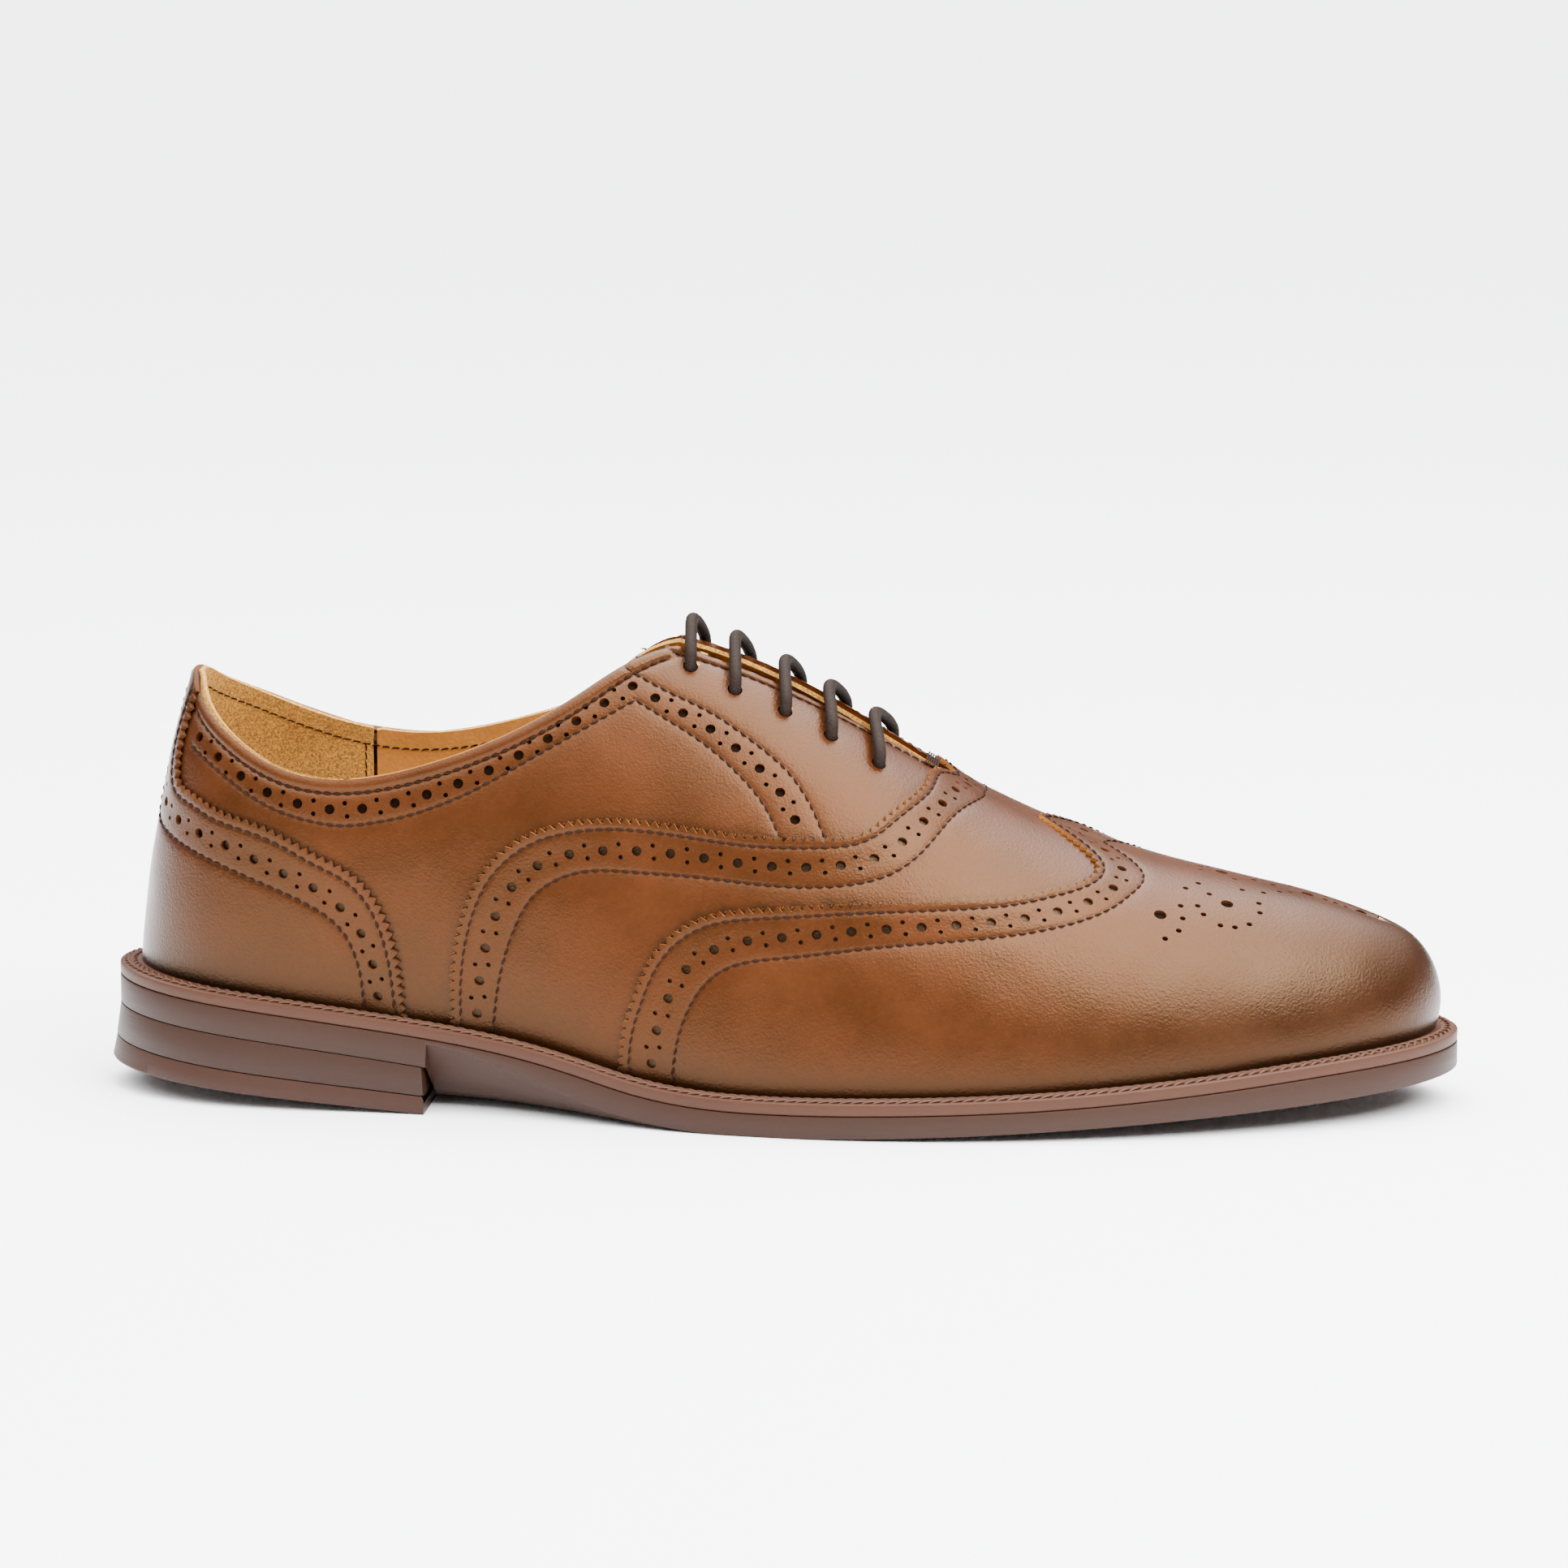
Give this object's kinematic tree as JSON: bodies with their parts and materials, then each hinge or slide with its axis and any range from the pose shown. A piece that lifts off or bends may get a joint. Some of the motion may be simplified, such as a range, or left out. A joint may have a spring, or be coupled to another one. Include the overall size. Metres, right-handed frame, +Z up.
{
  "type": "oxford shoe",
  "caption": "Right wing-cap oxford shoe with closed lacing, welted rubber sole, low stacked heel and a leather-lined foot cavity.",
  "frame": {"origin": "on the ground, under the middle of the shoe's length and breadth", "axes": "+X from the heel to the toe, +Y to the medial (inner) side, +Z up"},
  "size_m": [0.314, 0.1055, 0.1119],
  "materials": {
    "sole_rubber": "satin moulded brown rubber",
    "welt_rubber": "matte brown rubber with a milled edge",
    "heel_rubber": "satin brown, stacked layers",
    "top_piece_rubber": "matte dark brown",
    "upper_leather": "burnished tan calf, satin",
    "cap_leather": "burnished tan calf, polished",
    "lining_leather": "smooth golden lining leather",
    "heel_suede": "brushed golden suede",
    "vamp_lining_cloth": "plain drill",
    "backer_cloth": "plain textile backer",
    "board": "fibre board and thermoplastic stiffener",
    "cork": "pressed cork",
    "shank_steel": "plain spring steel",
    "sock_leather": "smooth golden sock leather",
    "tongue_leather": "soft tan calf",
    "eyelet_brass": "aged brass",
    "lace_cord": "round waxed dark brown braid",
    "thread": "dark brown sewing thread"
  },
  "bodies": {
    "shoe": {"outsole": "sole_rubber", "welt": "welt_rubber", "heel_lift": "heel_rubber", "heel_top_piece": "top_piece_rubber", "cork_filler": "cork", "shank": "shank_steel", "insole": "board", "sock_lining": "sock_leather", "quarter_lateral": "upper_leather", "quarter_medial": "upper_leather", "quarter_lining_lateral": "lining_leather", "quarter_lining_medial": "lining_leather", "heel_grip": "heel_suede", "counter_stiffener": "board", "heel_foxing": "upper_leather", "vamp_lining": "vamp_lining_cloth", "vamp_doubler": "backer_cloth", "toe_puff": "board", "vamp": "upper_leather", "wing_cap": "cap_leather", "lace": "lace_cord", "bar_tack": "thread", "eyelet_lateral_1": "eyelet_brass", "eyelet_lateral_2": "eyelet_brass", "eyelet_lateral_3": "eyelet_brass", "eyelet_lateral_4": "eyelet_brass", "eyelet_lateral_5": "eyelet_brass", "eyelet_medial_1": "eyelet_brass", "eyelet_medial_2": "eyelet_brass", "eyelet_medial_3": "eyelet_brass", "eyelet_medial_4": "eyelet_brass", "eyelet_medial_5": "eyelet_brass"},
    "tongue": {"tongue": "tongue_leather", "tongue_lining": "lining_leather"}
  },
  "joints": [
    {"name": "tongue_fold", "type": "hinge", "parent": "shoe", "child": "tongue", "pos_m": [0.0506, 0, 0.0654], "axis": [0, -1, 0], "range_deg": [0, 14], "stiffness_Nm_per_rad": 0.02, "springref_deg": -17.19}
  ]
}
